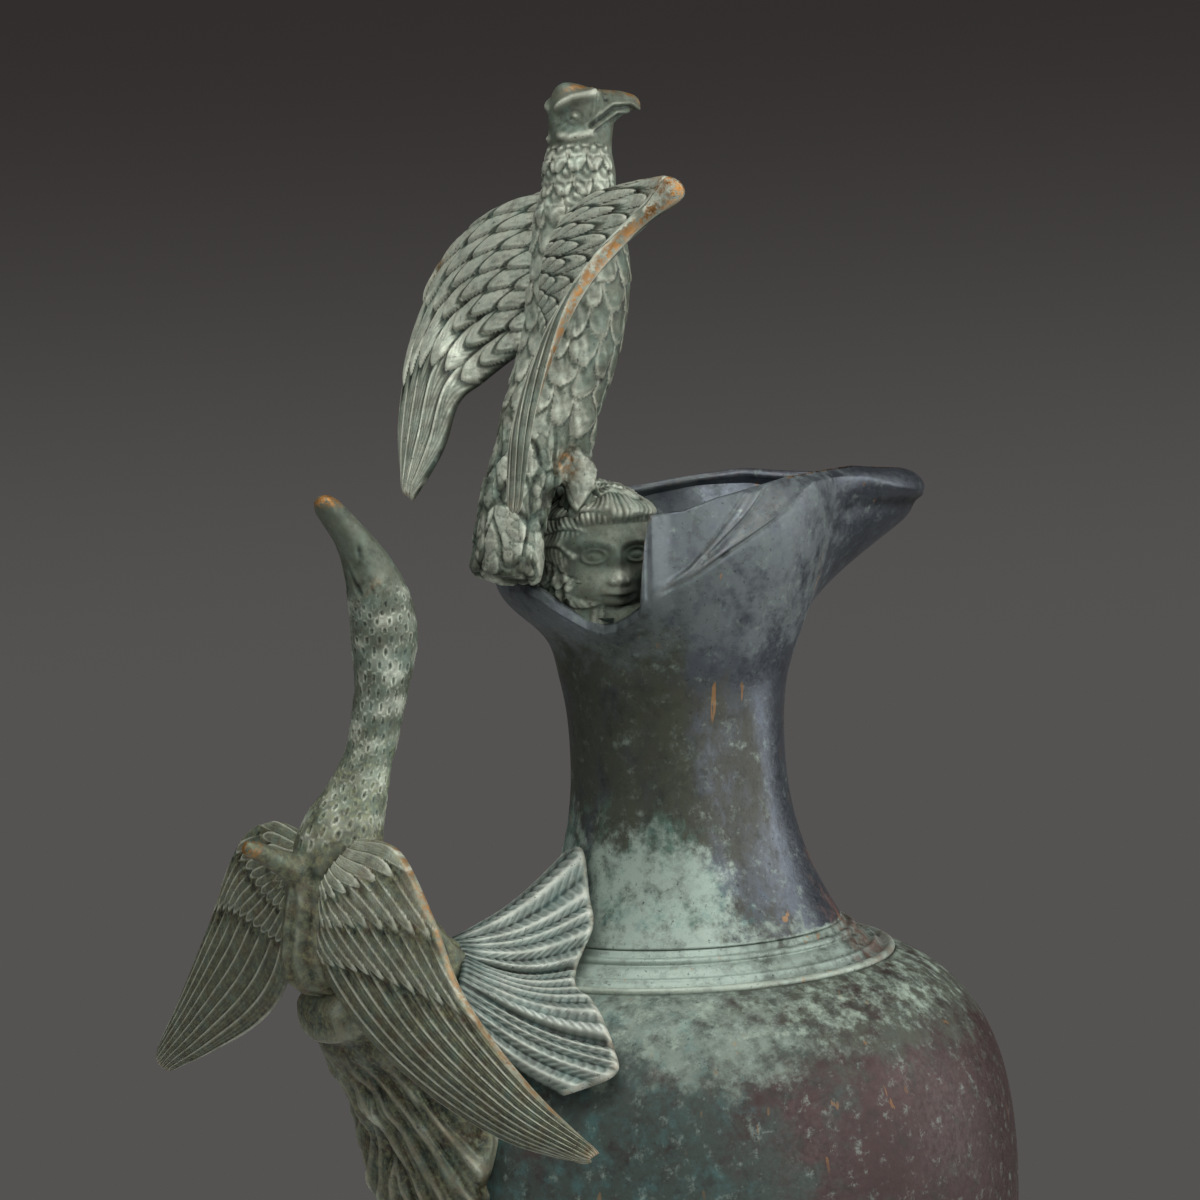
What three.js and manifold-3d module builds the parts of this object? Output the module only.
// Bronze ewer with a folded pouring mouth, an eagle standing on a youth's head at the back
// of the rim, and a swan with drooping wings on the shoulder below it.
// Millimetres, +Z up. The origin is the centre of the underside of the foot, +X is the way
// the spout points, and the two birds stand on the -X side.

import * as THREE from 'three';
import { mergeVertices } from 'three/addons/utils/BufferGeometryUtils.js';
import Module from 'manifold-3d';

const wasm = await Module();
wasm.setup();

// Driving dimensions: clearances and walls
const GAP = 0.3;
const BODY_WALL = 1.8;
const NECK_WALL = 2.6;

// Driving dimensions: foot and belly. A rise is measured from the level below it.
const FOOT_RADIUS = 47;
const FOOT_RIM_WIDTH = 7;
const FOOT_HEIGHT = 18;
const STEM_RADIUS = 36;
const BELLY_RADIUS = 96;
const BELLY_RISE = 144;
const SHOULDER_RADIUS = 62;
const SHOULDER_RISE = 63;

// Driving dimensions: collar, neck and pouring mouth
const COLLAR_SEAT_DEPTH = 2.4;
const COLLAR_BEAD = 1.1;
const COLLAR_RADIUS = 47.5;
const COLLAR_RISE = 10;
const SPIGOT_RADIUS = 44;
const SPIGOT_DEPTH = 6;
const WAIST_RADIUS = 32;
const WAIST_RISE = 52;
const THROAT_FLARE = 2.4;
const THROAT_RISE = 24;
const MOUTH_RADIUS = 47.5;
const MOUTH_RISE = 56;
const SPOUT_REACH = 93;
const SPOUT_SPREAD = 27;
const BACK_REACH = 58;
const BACK_SPREAD = 30;
const BACK_DROP = 29;
const BACK_RISE = 6.5;

// Driving dimensions: the folds along both sides of the mouth, in degrees from the spout. Their
// ribs fan out from the fold's rear end, the first one at an angle of its own to the ridge.
const FOLD_START = 61;
const FOLD_END = 135;
const FOLD_HEIGHT = 21;
const FOLD_LEAN = 7;
const FOLD_RIB = 1.3;
const FOLD_RIB_FIRST = 8;
const FOLD_RIB_PITCH = 16;

// Driving dimensions: youth's head and the saddle under it, both sunk below the rim
const HEAD_X = -24.5;
const HEAD_SINK = 20;
const HEAD_HALF_DEPTH = 18.5;
const HEAD_HALF_WIDTH = 18;
const HEAD_HALF_HEIGHT = 21;
const HAIR_WAVE = 0.9;
const SADDLE_SINK = 37;
const SADDLE_THICKNESS = 7;
const SADDLE_HALF_ANGLE = 29;
const SADDLE_REACH = 16;

// Driving dimensions: eagle, with the tang that pins it to the head
const EAGLE_WING_THICKNESS = 3.2;
const FEATHER_RELIEF = 0.6;
const TANG_RADIUS = 2.2;
const TANG_LENGTH = 30;
const TANG_SETBACK = 6;
const TANG_DEPTH = 19;

// Driving dimensions: swan
const SWAN_WING_THICKNESS = 3.2;
const TAIL_THICKNESS = 3;
const TAIL_SAG = 3.5;

// Levels above the floor
const BELLY_HEIGHT = FOOT_HEIGHT + BELLY_RISE;
const SHOULDER_HEIGHT = BELLY_HEIGHT + SHOULDER_RISE;
const COLLAR_HEIGHT = SHOULDER_HEIGHT + COLLAR_RISE;
const WAIST_HEIGHT = COLLAR_HEIGHT + WAIST_RISE;
const THROAT_HEIGHT = WAIST_HEIGHT + THROAT_RISE;
const RIM_HEIGHT = THROAT_HEIGHT + MOUTH_RISE;
const HEAD_HEIGHT = RIM_HEIGHT - HEAD_SINK;
const SADDLE_TOP = RIM_HEIGHT - SADDLE_SINK;
const THROAT_RADIUS = WAIST_RADIUS + THROAT_FLARE;

// Facet counts
const TURNED_STEPS = 40;
const FOOT_STEPS = 36;
const BELLY_CURVE_STEPS = 6;

const rad = THREE.MathUtils.degToRad;
const deg = THREE.MathUtils.radToDeg;
const lerp = THREE.MathUtils.lerp;
const clamp = THREE.MathUtils.clamp;
const smooth = THREE.MathUtils.smoothstep;
const v2 = (x, y) => new THREE.Vector2(x, y);
const v3 = (x, y, z) => new THREE.Vector3(x, y, z);
const bell = (x) => Math.exp(-x * x);

// Moves every vertex of a closed geometry by a formula.
function warp(geometry, place) {
  const position = geometry.attributes.position;
  for (let i = 0; i < position.count; i += 1) {
    const p = place(v3(position.getX(i), position.getY(i), position.getZ(i)), i);
    position.setXYZ(i, p.x, p.y, p.z);
  }
  return geometry;
}

// Merges shared vertices, drops faces that have no area and turns all faces outward.
function closedMesh(geometry) {
  const bare = geometry.clone();
  bare.deleteAttribute('normal');
  bare.deleteAttribute('uv');
  const merged = mergeVertices(bare, 1e-4);
  const index = Array.from(merged.index.array);
  const at = (i) => new THREE.Vector3().fromBufferAttribute(merged.attributes.position, i);
  const triangles = [];
  let volume = 0;
  for (let i = 0; i < index.length; i += 3) {
    const [a, b, c] = index.slice(i, i + 3);
    if (a === b || b === c || c === a) continue;
    triangles.push([a, b, c]);
    volume += at(a).dot(at(b).cross(at(c)));
  }
  const outward = volume > 0 ? triangles : triangles.map(([a, b, c]) => [a, c, b]);
  merged.setIndex(outward.flat());
  return merged;
}

function toSolid(geometry) {
  const mesh = closedMesh(geometry);
  return new wasm.Manifold(new wasm.Mesh({
    numProp: 3,
    vertProperties: new Float32Array(mesh.attributes.position.array),
    triVerts: new Uint32Array(mesh.index.array),
  }));
}

function toGeometry(solid) {
  const mesh = solid.getMesh();
  const geometry = new THREE.BufferGeometry();
  geometry.setAttribute('position', new THREE.BufferAttribute(new Float32Array(mesh.vertProperties), 3));
  geometry.setIndex(new THREE.BufferAttribute(new Uint32Array(mesh.triVerts), 1));
  geometry.computeVertexNormals();
  return geometry;
}

const cut = (solid, ...tools) => tools.reduce((left, tool) => left.subtract(tool), solid);
const join = (solid, ...others) => others.reduce((whole, other) => whole.add(other), solid);

// Turns a closed outline of radius and height about the ewer's axis.
function turned(outline, steps = TURNED_STEPS) {
  const points = outline.map(([radius, height]) => v2(radius, height));
  const lathe = new THREE.LatheGeometry(points, steps);
  return toSolid(lathe.rotateX(Math.PI / 2));
}

// A body bent along a curve in the XZ plane. Each station is
// [x, z, half width along Y, half depth across the curve], counted from the point at.
function swept(stations, { sides = 16, steps = 24, grow = 0, at = v3(0, 0, 0) } = {}) {
  const route = new THREE.CatmullRomCurve3(stations.map(([x, z]) => v3(x, 0, z).add(at)));
  const sizes = new THREE.CatmullRomCurve3(stations.map(([, , wide, deep]) => v3(wide, deep, 0)));
  const across = v3(0, 1, 0);
  const rod = new THREE.CylinderGeometry(1, 1, 1, sides, steps);
  return toSolid(warp(rod, (p) => {
    const t = clamp(0.5 - p.y, 0, 1);
    const along = route.getTangent(t);
    const up = along.clone().cross(across);
    const size = sizes.getPoint(t);
    const end = t < 1e-6 ? -grow : t > 1 - 1e-6 ? grow : 0;
    return route.getPoint(t)
      .addScaledVector(across, p.x * (size.x + grow))
      .addScaledVector(up, p.z * (size.y + grow))
      .addScaledVector(along, end);
  }));
}

// A thin shell over a surface. surface(u, v) gives the middle, thickness(u, v) the wall, and
// relief(u, v) what is added to the outer face alone. grow widens all of it for a clearance.
function shell(surface, { nu, nv, thickness, relief = () => 0, facing = 1, grow = 0 }) {
  const step = 1e-3;
  const slab = new THREE.BoxGeometry(1, 1, 1, nu, nv, 1);
  return toSolid(warp(slab, (p) => {
    const u = p.x + 0.5;
    const v = p.y + 0.5;
    const a = clamp(u, step, 1 - step);
    const b = clamp(v, step, 1 - step);
    const alongU = surface(a + step, b).sub(surface(a - step, b)).normalize();
    const alongV = surface(a, b + step).sub(surface(a, b - step)).normalize();
    const normal = alongU.clone().cross(alongV).normalize().multiplyScalar(facing);
    const wall = thickness(u, v);
    const depth = p.z > 0 ? wall / 2 + relief(u, v) + grow : -wall / 2 - grow;
    const edgeU = u < step ? -grow : u > 1 - step ? grow : 0;
    const edgeV = v < step ? -grow : v > 1 - step ? grow : 0;
    return surface(u, v)
      .addScaledVector(normal, depth)
      .addScaledVector(alongU, edgeU)
      .addScaledVector(alongV, edgeV);
  }));
}

// A smooth curve through points counted from the point at
function curveThrough(points, at) {
  return new THREE.CatmullRomCurve3(points.map(([x, y, z]) => v3(x, y, z).add(at)));
}

// Where the figures are modelled from: the crown of the youth's head for the eagle, and the
// shoulder's edge for the swan
const PERCH = v3(HEAD_X, 0, HEAD_HEIGHT + HEAD_HALF_HEIGHT);
const SWAN_SEAT = v3(-BELLY_RADIUS, 0, SHOULDER_HEIGHT);

// Materials
function bronze(color, roughness, metalness) {
  return new THREE.MeshStandardMaterial({ color, roughness, metalness });
}
const bellyBronze = () => bronze(0x4a3a38, 0.5, 0.75);
const neckBronze = () => bronze(0x454b52, 0.45, 0.75);
const birdBronze = () => bronze(0x66705f, 0.6, 0.6);
const paleBronze = () => bronze(0x7f9185, 0.7, 0.45);
const darkBronze = () => bronze(0x3c4038, 0.6, 0.65);

// Belly: outline of the outside, from the stem over the belly to the edge of the collar seat
const SEAT_HEIGHT = SHOULDER_HEIGHT - COLLAR_SEAT_DEPTH;
const SEAT_RADIUS = SHOULDER_RADIUS + GAP;
const BELLY_FLOOR = FOOT_HEIGHT + GAP;

function bellyCurve(offset = 0) {
  const rise = SHOULDER_HEIGHT - BELLY_HEIGHT;
  const fall = BELLY_HEIGHT - BELLY_FLOOR;
  const widest = BELLY_RADIUS - offset;
  const lower = new THREE.CubicBezierCurve(
    v2(STEM_RADIUS - offset, BELLY_FLOOR + offset),
    v2(STEM_RADIUS + 0.42 * (BELLY_RADIUS - STEM_RADIUS) - offset, BELLY_FLOOR + 0.12 * fall + offset),
    v2(widest, BELLY_HEIGHT - 0.5 * fall),
    v2(widest, BELLY_HEIGHT),
  );
  const shoulder = lerp(SHOULDER_RADIUS, BELLY_RADIUS, 0.66);
  const upper = new THREE.CubicBezierCurve(
    v2(widest, BELLY_HEIGHT),
    v2(widest, BELLY_HEIGHT + 0.56 * rise),
    v2(shoulder - offset, SHOULDER_HEIGHT - 0.14 * rise - offset),
    v2(SEAT_RADIUS, SHOULDER_HEIGHT - offset),
  );
  const below = lower.getPoints(BELLY_CURVE_STEPS);
  const above = upper.getPoints(BELLY_CURVE_STEPS).slice(1);
  return [...below, ...above].map((p) => [p.x, p.y]);
}

function bodyShell() {
  const hole = SPIGOT_RADIUS + GAP;
  const outside = bellyCurve();
  const inside = bellyCurve(BODY_WALL).filter(([, z]) => z < SEAT_HEIGHT - BODY_WALL).reverse();
  return turned([
    [0, BELLY_FLOOR],
    ...outside,
    [SEAT_RADIUS, SEAT_HEIGHT],
    [hole, SEAT_HEIGHT],
    [hole, SEAT_HEIGHT - BODY_WALL],
    ...inside,
    [0, BELLY_FLOOR + BODY_WALL],
  ]);
}

// Foot: a spreading ring with a rounded edge, and the turned disc that closes it below
const DISC_RADIUS = FOOT_RADIUS - FOOT_RIM_WIDTH - GAP;
const DISC_THICKNESS = 2.2;

function footRing() {
  const inner = FOOT_RADIUS - FOOT_RIM_WIDTH;
  const neck = STEM_RADIUS - 3;
  return turned([
    [inner, 0],
    [FOOT_RADIUS - 1, 0],
    [FOOT_RADIUS, 1.4],
    [FOOT_RADIUS, 4.4],
    [FOOT_RADIUS - 2, 6.4],
    [FOOT_RADIUS - 7, 8.6],
    [neck + 2, FOOT_HEIGHT - 4],
    [neck + 1.6, FOOT_HEIGHT],
    [neck - 4, FOOT_HEIGHT],
    [neck - 3, FOOT_HEIGHT - 5],
    [inner, 5],
    [inner, 0],
  ], FOOT_STEPS);
}

function baseDisc() {
  const ring = 3;
  return turned([
    [0, 0],
    [DISC_RADIUS * 0.3, 0],
    [DISC_RADIUS * 0.3 + ring, 0.9],
    [DISC_RADIUS * 0.62, 0.9],
    [DISC_RADIUS * 0.62 + ring, 0],
    [DISC_RADIUS, 0],
    [DISC_RADIUS, DISC_THICKNESS],
    [0, DISC_THICKNESS],
  ], FOOT_STEPS);
}

// Collar: a turned ring that is let into the shoulder and carries the neck
const COLLAR_TOP = COLLAR_HEIGHT - 0.4;

function collarRing() {
  const seat = SEAT_HEIGHT + GAP;
  const bore = SPIGOT_RADIUS - NECK_WALL;
  return turned([
    [bore, SEAT_HEIGHT - SPIGOT_DEPTH],
    [SPIGOT_RADIUS, SEAT_HEIGHT - SPIGOT_DEPTH],
    [SPIGOT_RADIUS, seat],
    [SHOULDER_RADIUS - 0.4, seat],
    [SHOULDER_RADIUS, SHOULDER_HEIGHT],
    [SHOULDER_RADIUS - 1.4, SHOULDER_HEIGHT + COLLAR_BEAD],
    [SHOULDER_RADIUS - 3.4, SHOULDER_HEIGHT + 0.7],
    [COLLAR_RADIUS + 3, COLLAR_HEIGHT - 2.2],
    [COLLAR_RADIUS, COLLAR_TOP],
    [bore, COLLAR_TOP],
    [bore, SEAT_HEIGHT - SPIGOT_DEPTH],
  ]);
}

// Neck and mouth. The angle runs from 0 at the spout to 180 degrees at the back.
const away = (angle) => Math.abs(THREE.MathUtils.euclideanModulo(angle + 180, 360) - 180);

// The ridge is the widest line of the mouth. Above it the lip turns in and stands up.
function ridgeRadius(angle) {
  const spout = (SPOUT_REACH - MOUTH_RADIUS) * bell(away(angle) / SPOUT_SPREAD);
  const back = (BACK_REACH - MOUTH_RADIUS) * bell((180 - away(angle)) / BACK_SPREAD);
  return MOUTH_RADIUS + spout + back;
}

// 0 before the fold's rear end and 1 behind it
const pastFold = (a) => smooth(a, FOLD_END - 4, FOLD_END + 6);

function rimHeight(angle) {
  const a = away(angle);
  const dip = 5 * smooth(a, 85, 130) + 2 * bell(a / 20);
  const back = BACK_DROP * pastFold(a) - BACK_RISE * smooth(a, 146, 176);
  return RIM_HEIGHT - dip - back;
}

function foldHeight(angle) {
  const a = away(angle);
  const ramp = clamp((a - FOLD_START) / (FOLD_END - 4 - FOLD_START), 0, 1);
  const fold = FOLD_HEIGHT * ramp * (1 - pastFold(a));
  return 2.2 + fold + 7 * (1 - smooth(a, 0, 45));
}

function foldLean(angle) {
  const a = away(angle);
  const folded = smooth(a, FOLD_START - 19, 88) * (1 - pastFold(a));
  return 2 + (FOLD_LEAN - 2) * folded + 4 * bell(a / 22);
}

// Height and radius of the outside of the neck, turned part only
function neckRadius(z) {
  const rise = z - WAIST_HEIGHT;
  const top = THROAT_FLARE * (rise / THROAT_RISE) ** 2.6;
  const low = (COLLAR_RADIUS - 2 - WAIST_RADIUS) * (rise / (COLLAR_HEIGHT + 2 - WAIST_HEIGHT)) ** 2.2;
  return WAIST_RADIUS + (rise > 0 ? top : low);
}

const NECK_LEVELS = [0.02, 0.22, 0.44, 0.72, 1].map((t) => lerp(COLLAR_HEIGHT + 2, THROAT_HEIGHT, t));
const FLARE_STEPS = 4;
const FOLD_STEPS = 4;

// Outside of the neck and mouth at one angle, from the collar to the rim
function neckOutline(angle) {
  const a = away(angle);
  const points = NECK_LEVELS.map((z) => v2(neckRadius(z), z));
  const ridge = v2(ridgeRadius(angle), rimHeight(angle) - foldHeight(angle));
  const climb = ridge.y - THROAT_HEIGHT;
  const back = smooth(a, 115, 150);
  const flare = new THREE.QuadraticBezierCurve(
    v2(THROAT_RADIUS, THROAT_HEIGHT),
    v2(THROAT_RADIUS + (0.3 - 0.22 * back) * climb, THROAT_HEIGHT + (0.72 + 0.2 * back) * climb),
    ridge,
  );
  points.push(...flare.getPoints(FLARE_STEPS).slice(1));
  const rim = v2(ridge.x - foldLean(angle), rimHeight(angle));
  const folded = smooth(a, FOLD_START, 80) * (1 - smooth(a, FOLD_END - 6, FOLD_END));
  for (let i = 1; i <= FOLD_STEPS; i += 1) {
    const t = i / FOLD_STEPS;
    const fan = deg(Math.atan2(t * foldHeight(angle), rad(FOLD_END - a) * ridge.x));
    const wave = Math.cos((2 * Math.PI * (fan - FOLD_RIB_FIRST)) / FOLD_RIB_PITCH);
    const rib = FOLD_RIB * wave * folded * Math.sin(Math.PI * t);
    points.push(v2(lerp(ridge.x, rim.x, t) + rib, lerp(ridge.y, rim.y, t)));
  }
  return points;
}

// Moves an open outline sideways by an amount, to the left of its direction
function offsetOutline(points, amount) {
  return points.map((p, i) => {
    const before = points[Math.max(i - 1, 0)];
    const after = points[Math.min(i + 1, points.length - 1)];
    const along = after.clone().sub(before).normalize();
    return v2(p.x - along.y * amount, p.y + along.x * amount);
  });
}

// A closed section of the neck at one angle. grow thickens the wall on all sides.
function neckSection(angle, grow = 0) {
  const line = neckOutline(angle);
  const outside = offsetOutline(line, -grow);
  const inside = offsetOutline(line, NECK_WALL + grow).reverse();
  outside[outside.length - 1].y += grow;
  inside[0].y += grow;
  const base = COLLAR_TOP + GAP - grow;
  const foot = [v2(inside.at(-1).x, base), v2(COLLAR_RADIUS - 0.6 + grow, base)];
  return [...foot, ...outside, ...inside, foot[0]];
}

// Turns a closed section whose shape changes with the angle about the ewer's axis
function turnedFreely(section) {
  const count = section(0).length;
  const lathe = new THREE.LatheGeometry(section(0), TURNED_STEPS);
  return toSolid(warp(lathe, (p, i) => {
    const angle = (360 * Math.floor(i / count)) / TURNED_STEPS;
    const point = section(angle)[i % count];
    return v3(point.x * Math.cos(rad(angle)), point.x * Math.sin(rad(angle)), point.y);
  }));
}

function neckAndMouth(grow = 0) {
  return turnedFreely((angle) => neckSection(angle, grow));
}

// The space inside the neck and mouth as one solid, a clearance smaller than the wall leaves
function mouthCore() {
  return turnedFreely((angle) => {
    const wall = offsetOutline(neckOutline(angle), NECK_WALL + GAP);
    return [v2(0, wall[0].y), ...wall, v2(0, wall.at(-1).y)];
  });
}

// The outside of the ewer as one solid, a clearance larger than the vessel
function vesselOutside() {
  const belly = bellyCurve().map(([r, z]) => [r + GAP, z]);
  const collar = [
    [SHOULDER_RADIUS + GAP, SHOULDER_HEIGHT + COLLAR_BEAD + GAP],
    [COLLAR_RADIUS + GAP, COLLAR_HEIGHT + 0.8 + GAP],
  ];
  const neck = NECK_LEVELS.map((z) => [neckRadius(z) + GAP, z + GAP]);
  return turned([[0, BELLY_FLOOR], ...belly, ...collar, ...neck, [0, THROAT_HEIGHT]]);
}

// Saddle: a tongue across the back of the mouth that carries the head
function rimSaddle() {
  const block = new THREE.BoxGeometry(1, 1, 1, 10, 1, 1);
  const tongue = toSolid(warp(block, (p) => {
    const angle = rad(180 + 2 * SADDLE_HALF_ANGLE * p.x);
    const radius = lerp(SADDLE_REACH, MOUTH_RADIUS, p.y + 0.5);
    const z = SADDLE_TOP + SADDLE_THICKNESS * (p.z - 0.5);
    return v3(radius * Math.cos(angle), radius * Math.sin(angle), z);
  }));
  return tongue.intersect(mouthCore());
}

// Youth's head: an ovoid with waves of hair, a nose and a chin
function youthHead(grow = 0) {
  const ball = new THREE.SphereGeometry(1, 22, 15);
  return toSolid(warp(ball, (p) => {
    const front = clamp(p.x, 0, 1);
    const side = Math.atan2(p.y, p.x);
    const hair = smooth(-p.x, -0.45, -0.2) * smooth(p.z, -0.75, -0.35);
    const waves = HAIR_WAVE * hair * Math.cos(9 * side + 5 * p.z);
    const jaw = 1 - 0.16 * smooth(-p.z, 0.1, 0.9);
    const nose = 1.6 * bell(p.y / 0.13) * bell((p.z + 0.08) / 0.2);
    const chin = 1.1 * bell(p.y / 0.3) * bell((p.z + 0.62) / 0.14);
    const scale = 1 + (waves + grow) / HEAD_HALF_DEPTH;
    return v3(
      HEAD_X + p.x * HEAD_HALF_DEPTH * scale + front * (nose + chin),
      p.y * HEAD_HALF_WIDTH * scale * jaw,
      HEAD_HEIGHT + p.z * HEAD_HALF_HEIGHT * scale,
    );
  }));
}

function seatedHead() {
  const under = new THREE.BoxGeometry(4 * HEAD_HALF_DEPTH, 4 * HEAD_HALF_WIDTH, 2 * HEAD_HALF_HEIGHT);
  under.translate(HEAD_X, 0, SADDLE_TOP + GAP - HEAD_HALF_HEIGHT);
  return cut(youthHead(), toSolid(under), neckAndMouth(GAP), eagleTang(GAP));
}

// Eagle: trunk and tail in one bend, then neck, flat-crowned head, hooked beak and thighs
const EAGLE_TRUNK = [
  [1.5, 89, 8.5, 9.5],
  [-1.5, 76, 12, 12.8],
  [-3, 58, 13.5, 15],
  [-7.5, 38, 13.5, 14],
  [-15, 18, 11.2, 13.2],
  [-26, -2, 11, 10.2],
  [-35, -25, 11.6, 8.2],
];
const EAGLE_NECK = [
  [-0.5, 80, 10, 10],
  [0, 90, 9.5, 10.5],
  [0.5, 98, 7.8, 9.5],
  [1, 106, 7.6, 10.5],
  [2, 112, 6.4, 9.8],
  [3, 115, 3.4, 6],
];
const EAGLE_BEAK = [
  [2.5, 106.5, 5.6, 7.8],
  [10.5, 109.4, 4.6, 5.3],
  [16, 110.8, 3.2, 3.4],
  [20.1, 110.4, 2, 2.2],
  [22, 108.2, 0.9, 1],
];
const EAGLE_THIGH = [
  [-10.5, 32, 5.5, 6],
  [-11.5, 20, 6, 6.4],
  [-12, 9, 4, 4.5],
  [-11, -6, 4.4, 5],
];
const THIGH_SPACING = 13;

function eagleTrunk(grow = 0) {
  return swept(EAGLE_TRUNK, { sides: 14, steps: 12, grow, at: PERCH });
}

function eagleNeck(grow = 0) {
  return swept(EAGLE_NECK, { sides: 14, steps: 9, grow, at: PERCH });
}

function eagleThigh(side) {
  const at = PERCH.clone().add(v3(0, side * THIGH_SPACING / 2, 0));
  return swept(EAGLE_THIGH, { sides: 10, steps: 6, at });
}

// Upright pin that runs from the crown of the head up into the eagle
function eagleTang(grow = 0) {
  const radius = TANG_RADIUS + grow;
  return toSolid(new THREE.CylinderGeometry(radius, radius, TANG_LENGTH + 2 * grow, 16)
    .rotateX(Math.PI / 2)
    .translate(PERCH.x - TANG_SETBACK, 0, PERCH.z - TANG_DEPTH + TANG_LENGTH / 2));
}

function eagleBody() {
  const whole = join(
    eagleTrunk(),
    eagleNeck(),
    swept(EAGLE_BEAK, { sides: 10, steps: 8, at: PERCH }),
    eagleThigh(1),
    eagleThigh(-1),
  );
  const seat = 2 * BACK_REACH;
  const under = new THREE.BoxGeometry(seat, seat, seat);
  under.translate(-seat / 2, 0, rimHeight(180) + GAP - seat / 2);
  return cut(whole, youthHead(GAP), toSolid(under), eagleTang(GAP));
}

// Rounded ridges of long feathers that lie side by side across v, on the outer part of a wing
function longFeathers(count) {
  return (u, v) => FEATHER_RELIEF * Math.abs(Math.sin(Math.PI * v * count)) * smooth(u, 0.4, 0.6);
}

const wingWall = (thickness) => (u, v) => thickness * (1 - 0.35 * v) * (1 - 0.25 * u);

// Eagle's wings: half open, the wrist raised and the long feathers hanging beside the tail.
// The near wing is lifted higher than the far one.
const EAGLE_WING_NEAR = {
  leading: [
    [1.6, -3, 85.3],
    [-2.6, -36, 89],
    [-8.8, -60, 82.7],
    [-34.6, -47, 55.9],
    [-45.4, -39, 25],
    [-49.9, -33, -5],
  ],
  trailing: [
    [-8.8, -2, 43.7],
    [-21.5, -13, 43.9],
    [-30.7, -21, 39.2],
    [-39.8, -27, 28.3],
    [-48.8, -31, 13.2],
    [-50.9, -32, -5],
  ],
};
const EAGLE_WING_FAR = {
  leading: [
    [-8.2, 3, 87.9],
    [-8.6, 30, 81.2],
    [-13.4, 52, 67.9],
    [-24.2, 54, 47],
    [-38.3, 43, 20.9],
    [-47.6, 27, -0.6],
  ],
  trailing: [
    [-13.2, 2, 42.6],
    [-15.6, 14, 38.4],
    [-24.7, 20, 31],
    [-33.7, 19, 25.9],
    [-41.7, 17, 12.4],
    [-49.1, 23, -2],
  ],
};

function eagleWing(edges, side) {
  const leading = curveThrough(edges.leading, PERCH);
  const trailing = curveThrough(edges.trailing, PERCH);
  const surface = (u, v) => {
    const p = leading.getPoint(u).lerp(trailing.getPoint(u), v);
    const bulge = 5 * Math.sin(Math.PI * v) * (1 - 0.7 * u);
    return p.add(v3(-0.8 * bulge, 0.2 * side * bulge, 0.4 * bulge));
  };
  const thickness = wingWall(EAGLE_WING_THICKNESS);
  const wing = shell(surface, { nu: 12, nv: 10, thickness, relief: longFeathers(5), facing: side });
  return cut(wing, eagleTrunk(GAP), eagleNeck(GAP));
}

// Swan: a deep breast that tapers to the rump, an upright neck with the head, and a breast stub
const SWAN_TRUNK = [
  [-41, 28, 2.5, 15],
  [-33, 27, 11, 19],
  [-20, 24, 16, 19.5],
  [-8, 17, 14.5, 15.5],
  [6, 9, 11, 10.5],
  [20, 4.5, 8, 7],
  [36, 1, 4, 4],
];
const SWAN_NECK = [
  [-23, 37, 13, 15],
  [-21.5, 49, 12, 12.5],
  [-16, 60.5, 8.8, 9],
  [-10.5, 73, 6.8, 6.9],
  [-6, 89, 7.2, 7.6],
  [-3.8, 105, 8.4, 9.8],
  [-5, 116, 7.8, 9],
  [-8, 125, 6, 7],
  [-13.6, 134.5, 5, 4.6],
  [-20, 142.5, 4.6, 3.4],
  [-22.5, 145.5, 2.4, 1.8],
];
const BREAST_STUB = [
  [-34, 41, 5, 5],
  [-41, 45.5, 3.4, 3.4],
  [-48, 49.5, 2.7, 2.7],
  [-52.5, 51.5, 2, 2],
];

function swanTrunk(grow = 0) {
  return swept(SWAN_TRUNK, { sides: 16, steps: 14, grow, at: SWAN_SEAT });
}

function swanNeck(grow = 0) {
  return swept(SWAN_NECK, { sides: 12, steps: 22, grow, at: SWAN_SEAT });
}

function breastStub(grow = 0) {
  return swept(BREAST_STUB, { sides: 10, steps: 5, grow, at: SWAN_SEAT });
}

function swanBody() {
  return cut(join(swanTrunk(), breastStub()), vesselOutside());
}

function swanNeckAndHead() {
  return cut(swanNeck(), swanTrunk(GAP), breastStub(GAP));
}

// Swan's wings: hang outward and down from beside the neck, seen from the front. The far wing
// stands out further than the near one.
const SWAN_WING_NEAR = {
  leading: [
    [-21, -11, 50],
    [-22, -32, 49.5],
    [-22, -47, 33.5],
    [-20, -56, 13],
    [-15, -79, -9],
    [-8, -100, -25],
  ],
  trailing: [
    [-31, -7, 37],
    [-34, -7, 19],
    [-31, -14, 5],
    [-24, -34, -12],
    [-16, -66, -24.5],
    [-9, -98, -27.5],
  ],
};
const SWAN_WING_FAR = {
  leading: [
    [-22, 12, 48],
    [-22.5, 33, 51.5],
    [-24, 49.5, 46],
    [-25.5, 62, 29],
    [-26, 87, -2],
    [-24, 113, -27.5],
  ],
  trailing: [
    [-31, 8, 37],
    [-33, 9, 22],
    [-30.5, 20, 7],
    [-27.5, 40, -6],
    [-25.5, 75, -20.5],
    [-23, 110, -32],
  ],
};

function swanWing(edges, side) {
  const leading = curveThrough(edges.leading, SWAN_SEAT);
  const trailing = curveThrough(edges.trailing, SWAN_SEAT);
  const surface = (u, v) => {
    const p = leading.getPoint(u).lerp(trailing.getPoint(u), v);
    const bulge = 4.5 * Math.sin(Math.PI * v) * (1 - 0.6 * u);
    return p.add(v3(-bulge, 0.2 * side * bulge, 0));
  };
  const thickness = wingWall(SWAN_WING_THICKNESS);
  const wing = shell(surface, { nu: 12, nv: 12, thickness, relief: longFeathers(6), facing: side });
  return cut(wing, swanTrunk(GAP), swanNeck(GAP), vesselOutside());
}

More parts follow.
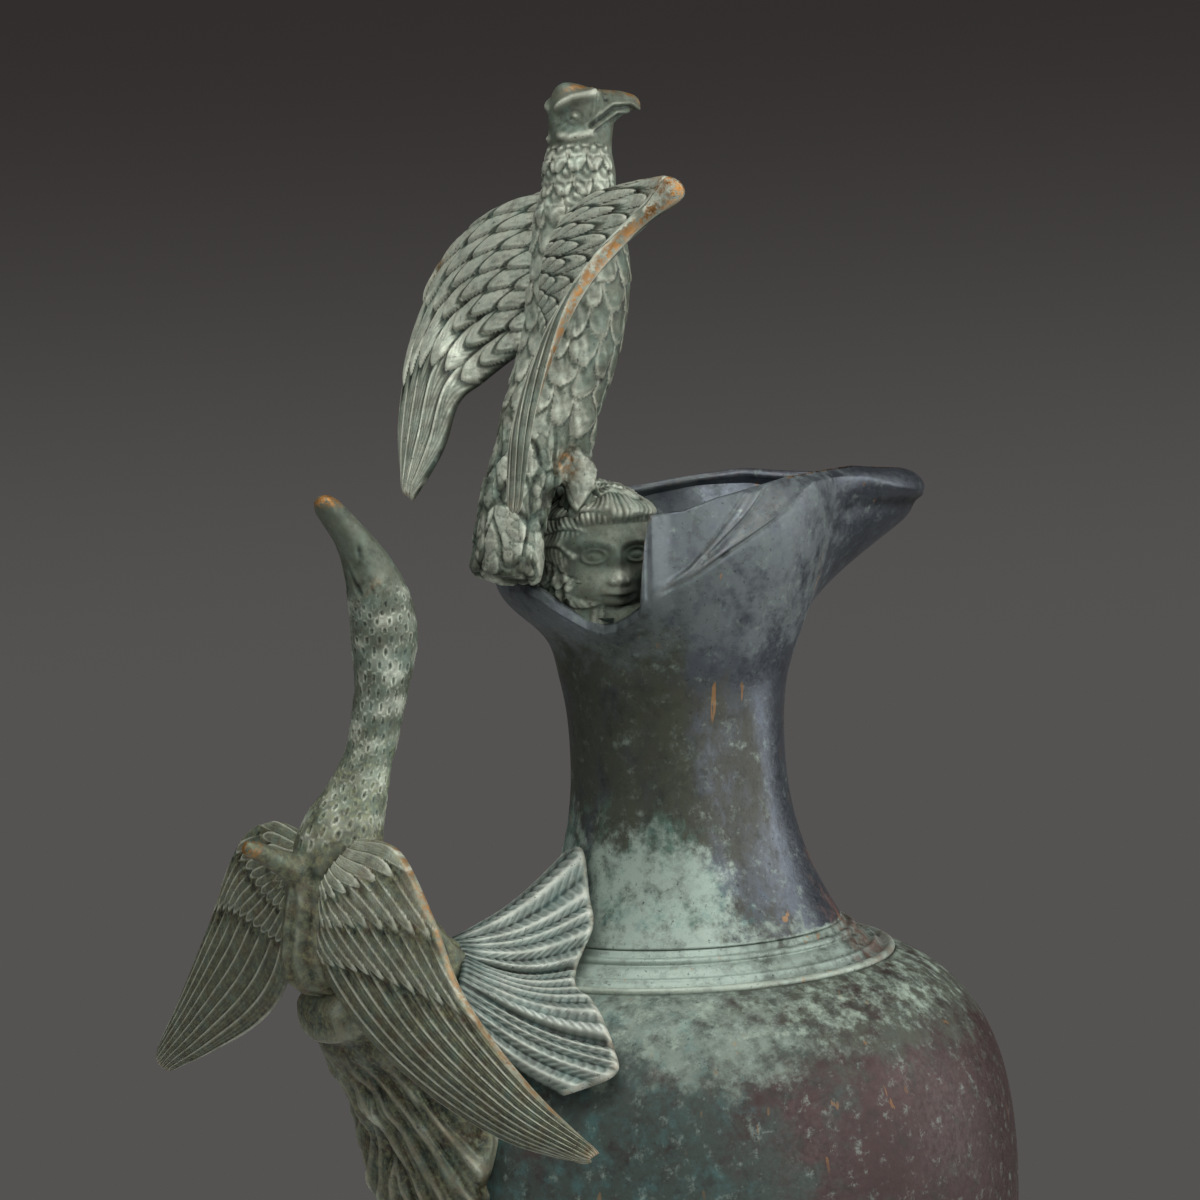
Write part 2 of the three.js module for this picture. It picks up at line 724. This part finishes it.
// Swan's tail: a fan that stands pointed against the neck and lies down on both shoulders
function tailFan() {
  const half = [
    [59, 0, 37],
    [54, 11, 24],
    [51, 16.5, 17],
    [43, 19, 6.5],
    [37, 27, 2],
    [35, 39, -1],
    [31, 53, -11],
    [28, 58, -16],
    [16, 49, -22],
  ];
  const mirrored = half.slice(1).reverse().map(([x, y, z]) => [x, -y, z]);
  const edge = curveThrough([...mirrored, ...half], SWAN_SEAT);
  const root = curveThrough([
    [3, -14, 1],
    [10, -9, 11],
    [12, 0, 15],
    [10, 9, 11],
    [3, 14, 1],
  ], SWAN_SEAT);
  const surface = (u, v) => {
    const p = root.getPoint(u).lerp(edge.getPoint(u), v);
    return p.add(v3(0, 0, -TAIL_SAG * Math.sin(Math.PI * v)));
  };
  const fan = shell(surface, { nu: 28, nv: 5, thickness: () => TAIL_THICKNESS });
  return cut(fan, swanTrunk(GAP), vesselOutside());
}

// Attachment under the swan: a bracket with a rolled lip that runs out in a leaf on the belly
const ATTACHMENT = [
  [-32, 6, 13, 5],
  [-23, -1, 19, 9],
  [-11, -13, 26, 12],
  [-2, -29, 30, 13],
  [2, -45, 30, 13],
  [3, -61, 24, 12],
  [3, -79, 10, 9],
];

function swanAttachment() {
  const bracket = swept(ATTACHMENT, { sides: 18, steps: 16, at: SWAN_SEAT });
  return cut(bracket, swanTrunk(GAP), vesselOutside());
}

// Assembly
const ewer = new THREE.Group();

function addPiece(name, solid, material) {
  const mesh = new THREE.Mesh(toGeometry(solid), material);
  mesh.name = name;
  ewer.add(mesh);
}

addPiece('foot_ring', footRing(), darkBronze());
addPiece('base_disc', baseDisc(), darkBronze());
addPiece('body_shell', bodyShell(), bellyBronze());
addPiece('collar_ring', collarRing(), neckBronze());
addPiece('neck_and_mouth', neckAndMouth(), neckBronze());
addPiece('rim_saddle', rimSaddle(), darkBronze());
addPiece('youth_head', seatedHead(), birdBronze());
addPiece('eagle_tang', eagleTang(), darkBronze());
addPiece('eagle_body', eagleBody(), birdBronze());
addPiece('eagle_wing_near', eagleWing(EAGLE_WING_NEAR, -1), birdBronze());
addPiece('eagle_wing_far', eagleWing(EAGLE_WING_FAR, 1), birdBronze());
addPiece('swan_body', swanBody(), birdBronze());
addPiece('swan_neck_and_head', swanNeckAndHead(), birdBronze());
addPiece('swan_wing_near', swanWing(SWAN_WING_NEAR, -1), birdBronze());
addPiece('swan_wing_far', swanWing(SWAN_WING_FAR, 1), birdBronze());
addPiece('swan_tail_fan', tailFan(), paleBronze());
addPiece('swan_attachment', swanAttachment(), birdBronze());

export default ewer;
